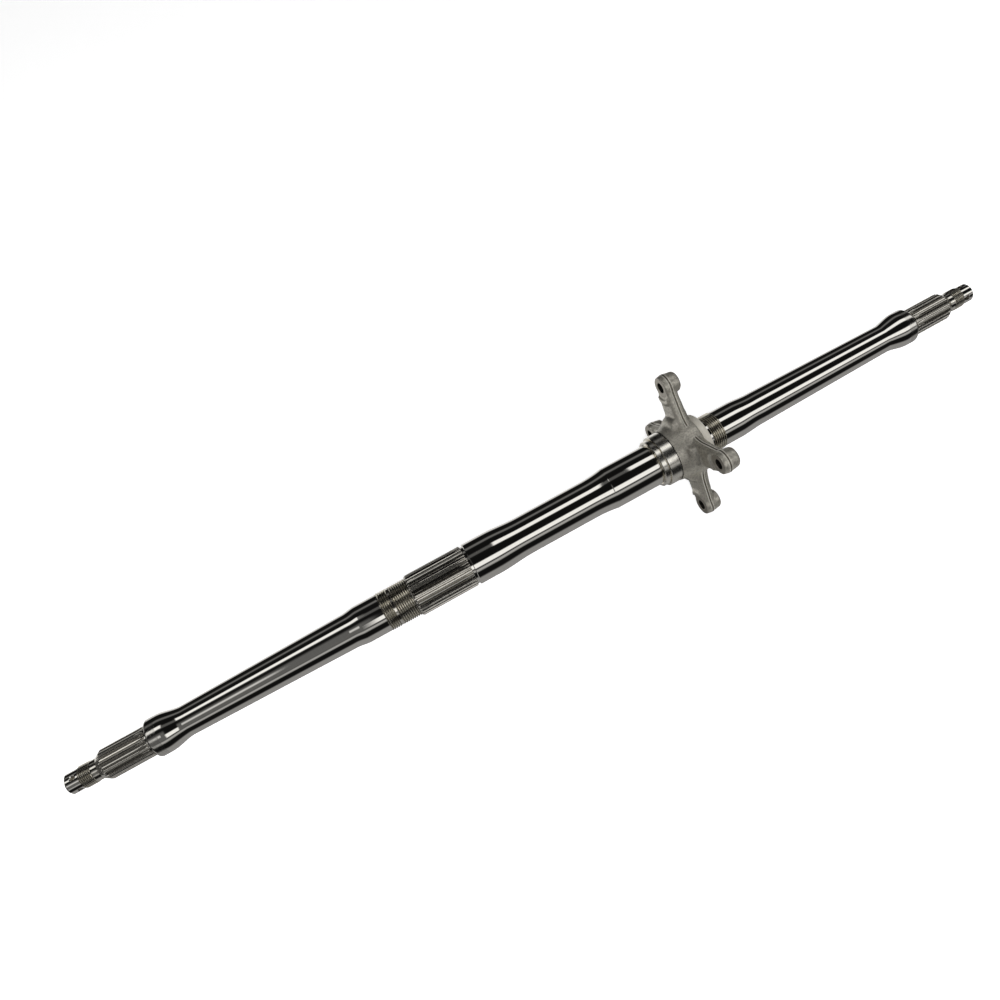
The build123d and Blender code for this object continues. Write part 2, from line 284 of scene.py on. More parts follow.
def metal(finish: Finish) -> bpy.types.Material:
    """Build the node material of a finish, or return it if it exists.

    A fine noise gives the height, and a broader one the colour and the roughness.
    Rings are the same noises stretched round the axle.  Where little of the sky within
    crease_shade_mm is open, the colour is darkened as painted shade in creases and hollows.

    Args:
        finish: the finish to build.

    Returns:
        The material.
    """
    if finish.name in bpy.data.materials:
        return bpy.data.materials[finish.name]
    material, tree = blank_material(finish.name)
    place = add_node(tree, "ShaderNodeTexCoord").outputs["Object"]
    along = RING_STRETCH if finish.grain is Grain.RINGS else 1.0
    placed = add_node(
        tree, "ShaderNodeMapping", inputs={"Vector": place, "Scale": (1.0, along, along)}
    ).outputs["Vector"]
    fine = noise(tree, placed, finish.grain_mm, 3.0)
    broad = noise(tree, placed, BROADER * finish.grain_mm, 6.0)
    ramp = add_node(tree, "ShaderNodeValToRGB", inputs={"Fac": broad})
    for element, level, share in zip(ramp.color_ramp.elements, SHADE_RAMP, (finish.shade, 1.0)):
        element.position = level
        element.color = linear(finish.tint, share)
    roughest = finish.roughness + finish.spread
    smoothest = finish.roughness - finish.spread
    bump = add_node(
        tree,
        "ShaderNodeBump",
        inputs={"Height": fine, "Distance": finish.depth_mm * MM, "Strength": 1.0},
    ).outputs["Normal"]
    tone = ramp.outputs["Color"]
    # Painted shade: the colour darkens in creases and hollows where little sky is open.
    if finish.crease_shade:
        reach = {"Distance": finish.crease_shade_mm * MM}
        sky = add_node(tree, "ShaderNodeAmbientOcclusion", {"samples": 8}, reach).outputs["AO"]
        kept = remap(tree, sky, OPEN_SKY, (1 - finish.crease_shade, 1.0))
        tone = add_node(
            tree, "ShaderNodeVectorMath", {"operation": "SCALE"}, {0: tone, "Scale": kept}
        ).outputs["Vector"]
    shader = add_node(
        tree,
        "ShaderNodeBsdfPrincipled",
        inputs={
            "Base Color": tone,
            "Metallic": finish.metallic,
            "Roughness": remap(tree, broad, ROUGH_RANGE, (roughest, smoothest)),
            "Normal": bump,
        },
    )
    add_node(tree, "ShaderNodeOutputMaterial", inputs={"Surface": shader.outputs["BSDF"]})
    return material


# ------------------------------------------------------------------ mesh helpers
def mesh_object(
    name: str,
    points: np.ndarray,
    faces: list,
    material: bpy.types.Material,
    sharp_deg: float = 32.0,
) -> bpy.types.Object:
    """Make a smooth shaded mesh object whose edges over sharp_deg stay sharp.

    Args:
        name: the object's name.
        points: n by 3 positions in millimetres.
        faces: vertex numbers of each face.
        material: what it is made of.
        sharp_deg: the smallest angle between two faces that shows as an edge.

    Returns:
        The object, linked to the scene.
    """
    mesh = bpy.data.meshes.new(name)
    mesh.from_pydata((points * MM).tolist(), [], faces)
    mesh.polygons.foreach_set("use_smooth", np.ones(len(faces), dtype=bool))
    mesh.set_sharp_from_angle(angle=math.radians(sharp_deg))
    mesh.materials.append(material)
    mesh.update()
    made = bpy.data.objects.new(name, mesh)
    bpy.context.scene.collection.objects.link(made)
    return made


def vertices_mm(mesh: bpy.types.Mesh) -> np.ndarray:
    """Return the mesh's vertices as n by 3 positions in millimetres."""
    flat = np.empty(len(mesh.vertices) * 3)
    mesh.vertices.foreach_get("co", flat)
    return flat.reshape(-1, 3) / MM


def tube_faces(rows: int, columns: int) -> np.ndarray:
    """Return the faces of a grid of points whose last column joins its first."""
    i = np.arange(rows - 1)[:, None] * columns
    j = np.arange(columns)[None, :]
    k = (j + 1) % columns
    return np.stack([i + j, i + k, i + columns + k, i + columns + j], -1).reshape(-1, 4)


def ease(start: tuple, end: tuple, rows: int = 24) -> np.ndarray:
    """Return stations from start to end, flat at both ends.

    With t from 0 to 1 the radius is r0 + (r1 - r0)(3 t squared - 2 t cubed).
    """
    t = np.linspace(0.0, 1.0, rows)
    x = start[0] + (end[0] - start[0]) * t
    return np.stack([x, start[1] + (end[1] - start[1]) * (3 * t**2 - 2 * t**3)], 1)


def swell(start: tuple, end: tuple, rows: int = 20) -> np.ndarray:
    """Return stations from start to end, flat at the start: the radius goes as t squared."""
    t = np.linspace(0.0, 1.0, rows)
    x = start[0] + (end[0] - start[0]) * t
    return np.stack([x, start[1] + (end[1] - start[1]) * t**2], 1)


def chain(*runs: object) -> np.ndarray:
    """Join runs of (x, radius) stations, each a point or an array of points."""
    return np.concatenate([np.atleast_2d(np.asarray(run, dtype=float)) for run in runs])


# ------------------------------------------------------------------ turned pieces
@dataclass
class Sleeve:
    """A surface swept once round the axle: P(x, a) = (x, r cos a, r sin a).

    Attributes:
        name: the piece's name.
        finish: what it is made of.
        columns: how many points go round.
        capped: whether the low and the high end are closed by a disc.
        slot: the record's material slot; not used.
        axis: y and z of the line that the surface is swept round.
    """

    name: str
    finish: Finish
    columns: int = 144
    capped: tuple = (False, False)
    slot: str = "polished_steel"
    axis: tuple = (0.0, 0.0)

    def grid(self) -> tuple:
        """Return x as rows, the angles, and the radius at each row and angle."""
        raise NotImplementedError

    def build(self) -> bpy.types.Object:
        """Build the piece, let it ride on the root body and return it."""
        x, angles, radius = self.grid()
        rows, columns = radius.shape
        wide = np.broadcast_to(x[:, None], radius.shape)
        across = self.axis[0] + radius * np.cos(angles)
        up = self.axis[1] + radius * np.sin(angles)
        points = np.stack([wide, across, up], -1).reshape(-1, 3)
        faces = tube_faces(rows, columns).tolist()
        rim = np.arange(columns)
        for at_end, wanted in enumerate(self.capped):
            if wanted:
                row = rim + (rows - 1) * columns * at_end
                centre = np.full(columns, len(points))
                ring = [row, np.roll(row, -1)] if at_end else [np.roll(row, -1), row]
                faces += np.stack([centre, *ring], 1).tolist()
                points = np.vstack([points, [x[-1 if at_end else 0], *self.axis]])
        made = mesh_object(self.name, points, faces, metal(self.finish))
        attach(made, "root")
        LOG.info("%s: %d faces", self.name, len(faces))
        return made


@dataclass
class Turned(Sleeve):
    """A plain turned length, from (x, radius) stations in order of x."""

    stations: np.ndarray = field(default_factory=lambda: np.zeros((0, 2)))

    def grid(self) -> tuple:
        """Return the stations' x, the angles, and the same radius at every angle."""
        angles = np.linspace(0, TAU, self.columns, endpoint=False)
        radius = np.repeat(self.stations[:, 1:], self.columns, 1)
        return self.stations[:, 0], angles, radius


@dataclass
class Thread(Sleeve):
    """A right hand thread.

    The phase is x / pitch - a / 2 pi, and the groove deepens with the distance of its
    fraction from one half, cut flat at crest and root.  Cones limit it at both ends.

    Attributes:
        start: x of its low end.
        end: x of its high end.
        major_r: radius at the crest.
        pitch: how far it advances in a turn.
        depth: how deep its groove is.
        low_r: radius at the small end of the low cone.
        high_r: radius at the small end of the high cone.
        bevel: length of each cone.
        close_r: radius that it is closed down to at both ends.
        crest: share of half a pitch that the flat crest takes.
        flank: share of half a pitch that each flank takes.
    """

    start: float = 0.0
    end: float = 1.0
    major_r: float = 10.0
    pitch: float = 1.5
    depth: float = 0.85
    low_r: float = 9.0
    high_r: float = 9.0
    bevel: float = 0.9
    close_r: float = 8.0
    crest: float = 0.14
    flank: float = 0.7

    def grid(self) -> tuple:
        """Return x, the angles, and the radius of the groove and its cones."""
        rows = int((self.end - self.start) / self.pitch * 8) + 2
        x = np.linspace(self.start, self.end, rows)
        angles = np.linspace(0, TAU, self.columns, endpoint=False)
        phase = np.mod(x[:, None] / self.pitch - angles[None, :] / TAU, 1.0)
        groove = np.clip((np.abs(2 * phase - 1) - self.crest) / self.flank, 0.0, 1.0)
        radius = self.major_r - self.depth * groove
        rise_low = self.low_r + (x - self.start) / self.bevel * (self.major_r - self.low_r)
        rise_high = self.high_r + (self.end - x) / self.bevel * (self.major_r - self.high_r)
        radius = np.minimum(radius, np.minimum(rise_low, rise_high)[:, None])
        closed = np.full((1, self.columns), self.close_r)
        return np.r_[x[0], x, x[-1]], angles, np.vstack([closed, radius, closed])


@dataclass
class Spline(Sleeve):
    """Straight sided spline teeth.

    One pitch runs from the middle of a gap to the next: the floor takes its first
    17 hundredths, the flank rises to 33 hundredths and the land takes the rest.  Its
    corners are broken.  A cone leads in at one end and a small bevel ends the other.

    Attributes:
        start: x of its low end.
        end: x of its high end.
        major_r: radius over the teeth.
        root_r: radius at the floor of the gaps.
        teeth: how many teeth it has.
        lead: length of the cone.
        lead_r: radius at the small end of the cone.
        lead_high: whether the cone is at the high end.
        far: length of the small bevel.
        far_r: radius at the small end of that bevel.
        close_r: radius that it is closed down to at both ends.
    """

    start: float = 0.0
    end: float = 1.0
    major_r: float = 19.8
    root_r: float = 18.55
    teeth: int = 36
    lead: float = 1.8
    lead_r: float = 18.5
    lead_high: bool = False
    far: float = 0.6
    far_r: float = 18.4
    close_r: float = 18.0

    def grid(self) -> tuple:
        """Return x, the angles of the teeth's corners, and the radius of teeth and cones."""
        share = np.array([-0.36, -0.32, -0.18, -0.14, 0.0, 0.14, 0.18, 0.32, 0.36, 0.5])
        height = np.array([1.0, 0.93, 0.07, 0.0, 0.0, 0.0, 0.07, 0.93, 1.0, 1.0])
        pitch = TAU / self.teeth
        angles = (np.arange(self.teeth)[:, None] * pitch + share[None, :] * pitch).ravel()
        tooth = self.root_r + (self.major_r - self.root_r) * np.tile(height, self.teeth)
        t = np.array([0.0, 0.12, 0.25, 0.4, 0.55, 0.7, 0.85, 1.0])
        length = self.end - self.start
        far = self.far
        near = np.r_[t * self.lead, np.linspace(self.lead, length - far, 6)[1:], length]
        cone = self.lead_r + near / self.lead * (self.major_r - self.lead_r)
        cone = np.minimum(cone, self.far_r + (length - near) / far * (self.major_r - self.far_r))
        x = self.start + near
        if self.lead_high:
            x, cone = self.end - near[::-1], cone[::-1]
        radius = np.minimum(tooth[None, :], cone[:, None])
        closed = np.full((1, len(angles)), self.close_r)
        return np.r_[x[0], x, x[-1]], angles, np.vstack([closed, radius, closed])


@dataclass
class WheelEnd:
    """A wheel end: collar, relief, splined seat, neck, nut thread and drilled stub.

    Attributes:
        side: "left" or "right".
        tip: x of its outer tip.
        outward: -1 or 1, the way it points along X.
        pin_turn: turn of the split pin holes about the axle, in degrees.
    """

    side: str
    tip: float
    outward: int
    pin_turn: float
    stub: float = 12.2
    thread: float = 11.6
    neck: float = 5.6
    spline: float = 44.0
    relief: float = 2.4
    stub_r: float = 9.05
    stub_bevel: float = 1.6
    thread_r: float = 10.0
    neck_r: float = 9.45
    major_r: float = 13.65
    root_r: float = 12.4
    relief_r: float = 12.2
    lead: float = 5.2
    lead_r: float = 10.3
    teeth: int = 27
    collar_r: float = 17.35
    corner: float = 2.6
    band: float = 9.8
    sweep: float = 22.0
    foot_r: float = 13.7
    pin_r: float = 2.0
    sink_r: float = 2.8
    sink: float = 0.8
    pin_from_tip: float = 8.0
    past: float = 1.5

    @property
    def shoulder(self) -> float:
        """X of the collar's outer face."""
        length = self.stub + self.thread + self.neck + self.spline + self.relief
        return self.tip - self.outward * length

    def at(self, distance: float) -> float:
        """X at a distance outward from the collar's outer face."""
        return self.shoulder + self.outward * distance

    def ordered(self, stations: np.ndarray) -> np.ndarray:
        """Turn (distance outward, radius) stations into (x, radius) in order of x."""
        turned = np.stack([self.at(stations[:, 0]), stations[:, 1]], 1)
        return turned if self.outward > 0 else turned[::-1]

    def foot(self) -> tuple:
        """Return x and radius where the sweep meets the tapered bar."""
        return self.at(-self.band - self.sweep), self.foot_r

    def sweep_stations(self) -> np.ndarray:
        """Return the sweep from the collar's band to the bar, in order of x."""
        run = ease((-self.band - self.sweep, self.foot_r), (-self.band, self.collar_r), 28)
        return self.ordered(run)

    def collar(self) -> Turned:
        """Describe the collar: relief groove, face, round corner and ground band."""
        turn = np.linspace(0, math.pi / 2, 8)
        corner = np.stack(
            [
                -self.corner + self.corner * np.cos(turn),
                self.collar_r - self.corner + self.corner * np.sin(turn),
            ],
            1,
        )[::-1]
        run = chain(
            (-self.band, self.collar_r), corner, (0.0, self.relief_r), (self.relief, self.relief_r)
        )
        return Turned(self.side + "_collar", GROUND, stations=self.ordered(run))

    def splined_seat(self) -> Spline:
        """Describe the splined seat of the wheel hub."""
        ends = sorted((self.at(self.relief), self.at(self.relief + self.spline)))
        return Spline(
            self.side + "_wheel_spline",
            CUT,
            start=ends[0],
            end=ends[1],
            major_r=self.major_r,
            root_r=self.root_r,
            teeth=self.teeth,
            lead=self.lead,
            lead_r=self.lead_r,
            lead_high=self.outward > 0,
            far_r=self.major_r - 0.3,
            close_r=self.neck_r - 0.3,
        )

    def nut_thread(self) -> Thread:
        """Describe the thread of the axle nut."""
        inner = self.relief + self.spline + self.neck
        ends = sorted((self.at(inner), self.at(inner + self.thread)))
        high = self.outward > 0
        return Thread(
            self.side + "_nut_thread",
            THREADED,
            columns=96,
            start=ends[0],
            end=ends[1],
            major_r=self.thread_r,
            low_r=self.neck_r if high else self.stub_r,
            high_r=self.stub_r if high else self.neck_r,
            close_r=self.stub_r - 0.4,
        )

    def neck_length(self) -> Turned:
        """Describe the plain neck between the spline and the thread."""
        inner = self.relief + self.spline
        run = chain((inner - 1.0, self.neck_r), (inner + self.neck + 0.1, self.neck_r))
        return Turned(self.side + "_neck", CUT, columns=96, stations=self.ordered(run))

    def stub_end(self) -> Turned:
        """Describe the stub, closed at both ends so that holes can be cut in it."""
        outer = abs(self.tip - self.shoulder)
        inner = outer - self.stub - 2.0
        run = chain(
            (inner, self.stub_r - 0.3),
            (inner + 1.9, self.stub_r - 0.02),
            (outer - self.stub_bevel - 9.6, self.stub_r),
            (outer - self.stub_bevel, self.stub_r),
            (outer - 0.3, self.stub_r - self.stub_bevel + 0.3),
            (outer, self.stub_r - self.stub_bevel - 0.1),
        )
        stations = self.ordered(run)
        return Turned(self.side + "_stub", CHROMED, 96, (True, True), stations=stations)

    def drill(self, stub: bpy.types.Object) -> None:
        """Cut the two crossed split pin holes, with their sinks, out of the stub."""
        reach = self.stub_r + self.past
        inner = self.stub_r - self.sink
        flare = self.sink_r + self.past
        run = chain((-reach, flare), (-inner, self.pin_r), (inner, self.pin_r), (reach, flare))
        station = self.tip - self.outward * self.pin_from_tip
        for quarter in (0, 90):
            made = Turned("cutter", CHROMED, 48, (True, True), stations=run).build()
            axial, across, up = vertices_mm(made.data).T
            turn = math.radians(self.pin_turn + quarter)
            c, s = math.cos(turn), math.sin(turn)
            placed = np.stack(
                [station + up, c * axial - s * across, s * axial + c * across], 1
            )
            made.data.vertices.foreach_set("co", (placed * MM).ravel())
            cut = stub.modifiers.new("pin_hole", "BOOLEAN")
            cut.operation = "DIFFERENCE"
            cut.solver = "EXACT"
            cut.object = made
            graph = bpy.context.evaluated_depsgraph_get()
            bored = bpy.data.meshes.new_from_object(stub.evaluated_get(graph))
            stub.modifiers.clear()
            old, stub.data = stub.data, bored
            bpy.data.meshes.remove(old)
            spent = made.data
            bpy.data.objects.remove(made)
            bpy.data.meshes.remove(spent)
        stub.data.set_sharp_from_angle(angle=math.radians(25))

    def build(self) -> None:
        """Build every piece of this end."""
        self.collar().build()
        self.splined_seat().build()
        self.nut_thread().build()
        self.neck_length().build()
        self.drill(self.stub_end().build())


@dataclass
class Shaft:
    """The axle between its two wheel ends.

    Attributes:
        left: the left wheel end.
        right: the right wheel end.
        journals: the (low x, high x) of the two journals, their edges included.
    """

    left: WheelEnd
    right: WheelEnd
    journals: list
    seat_r: float = 17.75
    taper_r: float = 16.2
    lock_r: float = 18.5
    lock_groove_r: float = 17.8
    lock_pitch: float = 2.0
    lock_depth: float = 1.1
    lock_bevel: float = 0.7
    waist_r: float = 18.05
    journal_r: float = 20.0
    relief_r: float = 18.4
    left_taper_end: float = -349.0
    left_seat: tuple = (-335.3, -314.2)
    left_groove: tuple = (-304.3, -302.4)
    long_spline: tuple = (-285.2, -228.4)
    waist: tuple = (-171.0, -103.0)
    undercut: tuple = (-34.6, -31.4)
    undercut_r: float = 19.2
    hub_shoulder: float = -20.0
    hub_relief_r: float = 17.6
    right_lock: tuple = (25.5, 38.3)
    right_seat_end: float = 57.5
    right_taper_start: float = 82.0

    def left_bar(self) -> Turned:
        """Describe the left bar, from the collar's sweep to its seat."""
        run = chain(
            self.left.sweep_stations(),
            ease((self.left_taper_end, self.taper_r), (self.left_seat[0], self.seat_r), 16),
            (self.left_seat[1], self.seat_r),
        )
        return Turned("left_bar", CHROMED, stations=run)

    def right_bar(self) -> Turned:
        """Describe the right bar, from its seat to the collar's sweep."""
        run = chain(
            (self.right_lock[1], self.seat_r),
            ease((self.right_seat_end, self.seat_r), (self.right_taper_start, self.taper_r), 20),
            self.right.sweep_stations(),
        )
        return Turned("right_bar", CHROMED, stations=run)

    def middle(self) -> Turned:
        """Describe the journals, the waist and the length inside the hub."""
        (low, high), (low_b, high_b) = self.journals
        r, edge = self.journal_r, 0.5
        run = chain(
            (self.long_spline[1] - 0.5, self.relief_r),
            (low, self.relief_r),
            (low, r - edge),
            (low + edge, r),
            ease((high, r), (self.waist[0], self.waist_r)),
            swell((self.waist[1], self.waist_r), (low_b, r - 0.25)),
            (low_b + edge, r),
            (self.undercut[0], r),
            (self.undercut[0] + edge, self.undercut_r),
            (self.undercut[1] - edge, self.undercut_r),
            (self.undercut[1], r),
            (self.hub_shoulder, r),
            (self.hub_shoulder, self.relief_r),
            (self.right_lock[0] - 8.0, self.relief_r),
            (self.right_lock[0] - 8.0, self.hub_relief_r),
            (self.right_lock[0] + 0.5, self.hub_relief_r),
        )
        return Turned("journals_and_waist", CHROMED, stations=run)

    def lock_thread(
        self, name: str, start: float, end: float, low: float, high: float
    ) -> Thread:
        """Describe one band of lock nut thread that starts and ends at the radii given."""
        return Thread(
            name,
            THREADED,
            start=start,
            end=end,
            major_r=self.lock_r,
            low_r=low,
            high_r=high,
            pitch=self.lock_pitch,
            depth=self.lock_depth,
            bevel=self.lock_bevel,
            close_r=self.hub_relief_r - 0.3,
        )

    def build(self) -> None:
        """Build the whole shaft and let it stand for its CAD node."""
        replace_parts(self.middle().build(), "axle_shaft")
        self.left_bar().build()
        self.right_bar().build()
        groove = chain(
            (self.left_groove[0] - 0.5, self.lock_groove_r),
            (self.left_groove[1] + 0.5, self.lock_groove_r),
        )
        Turned("lock_groove", CUT, stations=groove).build()
        self.lock_thread(
            "left_lock_thread_outer",
            self.left_seat[1],
            self.left_groove[0],
            self.seat_r,
            self.seat_r,
        ).build()
        self.lock_thread(
            "left_lock_thread_inner",
            self.left_groove[1],
            self.long_spline[0],
            self.seat_r,
            self.seat_r,
        ).build()
        self.lock_thread(
            "right_lock_thread", *self.right_lock, self.hub_relief_r, self.seat_r
        ).build()
        Spline("long_spline", CUT, start=self.long_spline[0], end=self.long_spline[1]).build()
        self.left.build()
        self.right.build()


# ------------------------------------------------------------------ sprocket hub
@dataclass
class SprocketHub:
    """The cast hub: its blasted body, its turned rings, its bolt holes and its flash.

    Attributes:
        node: the CAD node that it stands for.
        low: x of its left end.
        high: x of its right end.
        bolt_r: radius of the bolt circle.
        holes: how many arms it has.
        hole_r: radius of a bolt hole.
    """

    node: bpy.types.Object
    low: float
    high: float
    bolt_r: float
    holes: int
    hole_r: float
    first_arm: float = 45.0
    bore_r: float = 20.05
    relief_r: float = 20.2
    nose_r: float = 23.0
    nose: float = 4.6
    groove_r: float = 22.2
    groove: float = 0.7
    collar_r: float = 25.0
    collar: float = 10.8
    step_r: float = 24.3
    step: float = 1.1
    band_r: float = 25.0
    band: float = 7.8
    face_r: float = 9.3
    boss_end: float = 16.3
    boss_end_r: float = 8.3
    root_half: float = 14.2
    tip_half: float = 9.9
    web_r: float = 27.0
    parting: float = 5.6
    tip_r: float = 10.98
    flash_gap: float = 1.2
    flash_out: float = 0.6
    flash_half: float = 0.75
    flash_sunk: float = 0.5
    seam_shade_out: float = 0.05
    seam_shade_sunk: float = 0.02
    voxel: float = 0.8
    rounding: int = 6
    blending: int = 16
    root_reach: float = 38.0

    @property
    def cast_from(self) -> float:
        """X where the turned step ends and the cast skin begins."""
        return self.low + self.nose + self.groove + self.collar + self.step

    @staticmethod
    def baked(made: bpy.types.Object) -> bpy.types.Mesh:
        """Return the object's mesh with its modifiers applied, and take them off it."""
        graph = bpy.context.evaluated_depsgraph_get()
        mesh = bpy.data.meshes.new_from_object(made.evaluated_get(graph))
        made.modifiers.clear()
        return mesh

    def cast_body(self) -> None:
        """Build the cast skin: the node's own form with the soft edges of a casting.

        A copy of the node is meshed again in even cells and relaxed a few times, which
        rounds each edge by about two cells, and the roots of the arms by about three.
        What was turned is then left out.
        """
        made = self.node.copy()
        made.data = self.node.data.copy()
        made.parent = None
        made.name = "cast_body"
        bpy.context.scene.collection.objects.link(made)
        weld = made.modifiers.new("weld", "WELD")
        weld.merge_threshold = 0.01 * MM
        even = made.modifiers.new("even", "REMESH")
        even.mode = "VOXEL"
        even.voxel_size = self.voxel * MM
        made.data = self.baked(made)
        x, y, z = vertices_mm(made.data).T
        near = (np.hypot(y, z) < self.root_reach) & (x < self.parting)
        root = made.vertex_groups.new(name="root")
        root.add(np.flatnonzero(near).tolist(), 1.0, "REPLACE")
        for name, rounds in (("root", self.blending), ("", self.rounding)):
            relax = made.modifiers.new("relax", "SMOOTH")
            relax.factor = 0.5
            relax.iterations = rounds
            relax.vertex_group = name
        skin = self.baked(made)
        bpy.data.objects.remove(made)
        points = vertices_mm(skin)
        corners = np.empty(len(skin.loops), dtype=np.int64)
        skin.loops.foreach_get("vertex_index", corners)
        faces = corners.reshape(-1, 4)
        bpy.data.meshes.remove(skin)
        x, y, z = points[faces].mean(1).T
        r = np.hypot(y, z)
        left_turned = x < self.cast_from - 0.3
        right_turned = (x > self.high - self.band) & (r < self.band_r + 0.2)
        bored = r < self.relief_r + 0.4
        faces = faces[~left_turned & ~right_turned & ~bored]
        used, faces = np.unique(faces, return_inverse=True)
        faces = faces.reshape(-1, 4).tolist()
        body = mesh_object("cast_body", points[used], faces, metal(BLASTED), 80)
        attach(body, "root")
        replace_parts(body, self.node.name)
        LOG.info("cast_body: %d faces", len(faces))

    def ring(
        self, name: str, finish: Finish, stations: np.ndarray, axis: tuple = (0.0, 0.0)
    ) -> None:
        """Build one turned face or bore of the hub."""
        Turned(name, finish, slot="blasted_casting", axis=axis, stations=stations).build()

    def rings(self) -> None:
        """Build the nose ring, the collar and the right hand band, with their bores."""
        nose_end = self.low + self.nose
        collar_start = nose_end + self.groove
        collar_end = collar_start + self.collar
        edge = 0.5
        nose = chain(
            (self.low + 10.0, self.bore_r),
            (self.low + edge, self.bore_r),
            (self.low, self.bore_r + edge),
            (self.low, self.nose_r - edge),
            (self.low + edge, self.nose_r),
            (nose_end, self.nose_r),
            (nose_end, self.groove_r),
            (collar_start, self.groove_r),
            (collar_start, self.collar_r - edge),
            (collar_start + edge, self.collar_r),
            (collar_end, self.collar_r),
            (collar_end, self.step_r),
            (self.cast_from + 0.6, self.step_r),
        )
        self.ring("nose_and_collar", TURNED, nose)
        band = chain(
            (self.high - self.band - 0.8, self.band_r),
            (self.high - edge, self.band_r),
            (self.high, self.band_r - edge),
            (self.high, self.relief_r + edge),
            (self.high - edge, self.relief_r),
            (self.high - 3.0, self.relief_r),
        )
        self.ring("right_band", FACED, band)

    def bolt_holes(self) -> None:
        """Build the spot face, wall and far face of each bolt hole."""
        edge = 0.35
        skin = 0.06
        near = chain((edge, self.hole_r), (-skin, self.hole_r + edge), (-skin, self.face_r))
        wall = chain((self.boss_end - edge, self.hole_r), (edge, self.hole_r))
        far = chain(
            (self.boss_end + skin, self.boss_end_r),
            (self.boss_end + skin, self.hole_r + edge),
            (self.boss_end - edge, self.hole_r),
        )
        for index in range(self.holes):
            turn = math.radians(self.first_arm + index * 360 / self.holes)
            place = (self.bolt_r * math.cos(turn), self.bolt_r * math.sin(turn))
            number = str(index + 1)
            self.ring("spot_face_" + number, SPOTTED, near, place)
            # the bore is near black: painted shade inside the hole
            self.ring("bolt_hole_" + number, DRILLED_SHADE, wall, place)
            self.ring("boss_face_" + number, SPOTTED, far, place)

    def web_path(self) -> tuple:
        """Follow the parting plane from one arm's tip to the next.

        In the frame of the line midway between the arms, an arm's tip is the circle of
        radius tip_r round its bolt hole, its side is the line y = root_half - slope x of
        its own axis, turned by half the pitch, and the web is the circle of radius web_r
        that touches both sides.

        Returns:
            The points and the outward normals as complex numbers, and the share of the
            full height that a ridge has at each point: none on the round of the tip.
        """
        half = math.pi / self.holes
        lean = math.atan((self.root_half - self.tip_half) / self.bolt_r)
        spin = np.exp(-1j * half)
        normal = complex(math.sin(lean), math.cos(lean)) * spin
        axis_gap = self.root_half * math.cos(lean)
        centre = (axis_gap + self.web_r) / normal.real
        touch = centre - self.web_r * normal
        past = math.acos((axis_gap - self.bolt_r * math.sin(lean)) / self.tip_r)
        swing = np.linspace(0, math.pi / 2 - lean + past, 21)
        tip = (self.bolt_r + self.tip_r * np.exp(1j * swing)) * spin
        side = tip[-1] + (touch - tip[-1]) * np.linspace(0, 1, 9)[1:]
        start = np.angle(touch - centre) % TAU
        turn = np.linspace(start, TAU - start, 33)[1:-1]
        arc = centre + self.web_r * np.exp(1j * turn)
        near = np.concatenate([tip, side])
        out = np.concatenate([np.exp(1j * swing) * spin, np.full(len(side), normal)])
        share = np.r_[np.clip(swing / math.radians(25) - 2.8, 0, 1), np.ones(len(side))]
        path = np.concatenate([near, arc, np.conj(near[::-1])])
        normals = np.concatenate([out, -np.exp(1j * turn), np.conj(out[::-1])])
        return path, normals, np.concatenate([share, np.ones(len(arc)), share[::-1]])

    def seam(self, name: str, finish: Finish, rails: tuple) -> None:
        """Sweep a section along the parting plane of all the webs.

        Args:
            name: the piece's name.
            finish: what it is made of.
            rails: for each point of the section its distance from the parting plane,
                its fixed height, and its height where the share is full.
        """
        path, out, share = self.web_path()
        points, faces = [], []
        for index in range(self.holes):
            turn = np.exp(1j * (math.radians(self.first_arm) + TAU * (index + 0.5) / self.holes))
            start = len(points) * len(path)
            for lift, sunk, proud in rails:
                ring = (path + (sunk + proud * share) * out) * turn
                x = np.full(len(path), self.parting + lift)
                points.append(np.stack([x, ring.real, ring.imag], 1))
            for rail in range(len(rails) - 1):
                low = start + rail * len(path) + np.arange(len(path) - 1)
                high = low + len(path)
                faces += np.stack([low, low + 1, high + 1, high], 1).tolist()
        made = mesh_object(name, np.concatenate(points), faces, metal(finish), 60)
        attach(made, "root")
        LOG.info("%s: %d faces", name, len(faces))

    def flash(self) -> None:
        """Build the two ridges of flash that the mould left, with a painted highlight, and painted
        shade between them.
        """
        for name, way in (("flash_ridge_near", -1), ("flash_ridge_far", 1)):
            lift = way * self.flash_gap
            foot = -self.flash_sunk
            self.seam(
                name,
                RIDGED,
                (
                    (lift - self.flash_half, foot, 0.0),
                    (lift, 0.0, self.flash_out),
                    (lift + self.flash_half, foot, 0.0),
                ),
            )
        inner = self.flash_gap - self.flash_half
        # a thin dark strip between the ridges: painted shade
        seam_shade_heights = (-self.seam_shade_sunk, self.seam_shade_out)
        self.seam("seam_painted_shade", SEAM_SHADE, ((-inner, *seam_shade_heights), (inner, *seam_shade_heights)))

    def build(self) -> None:
        """Build the body, its machined faces and its flash."""
        self.cast_body()
        self.rings()
        self.bolt_holes()
        self.flash()


# ------------------------------------------------------------------ studio
@dataclass(frozen=True)
class Panel:
    """A long soft box parallel to the axle.

    Attributes:
        low: where it starts, in degrees from straight up towards -Y.
        high: where it ends.
        radiance: its brightness, where 1 is white.
        soft: the degrees over which each edge fades.
        start: x where it starts.
        end: x where it ends.
    """

    low: float
    high: float
    radiance: float
    soft: float = 4.0
    start: float = -9000.0
    end: float = 9000.0


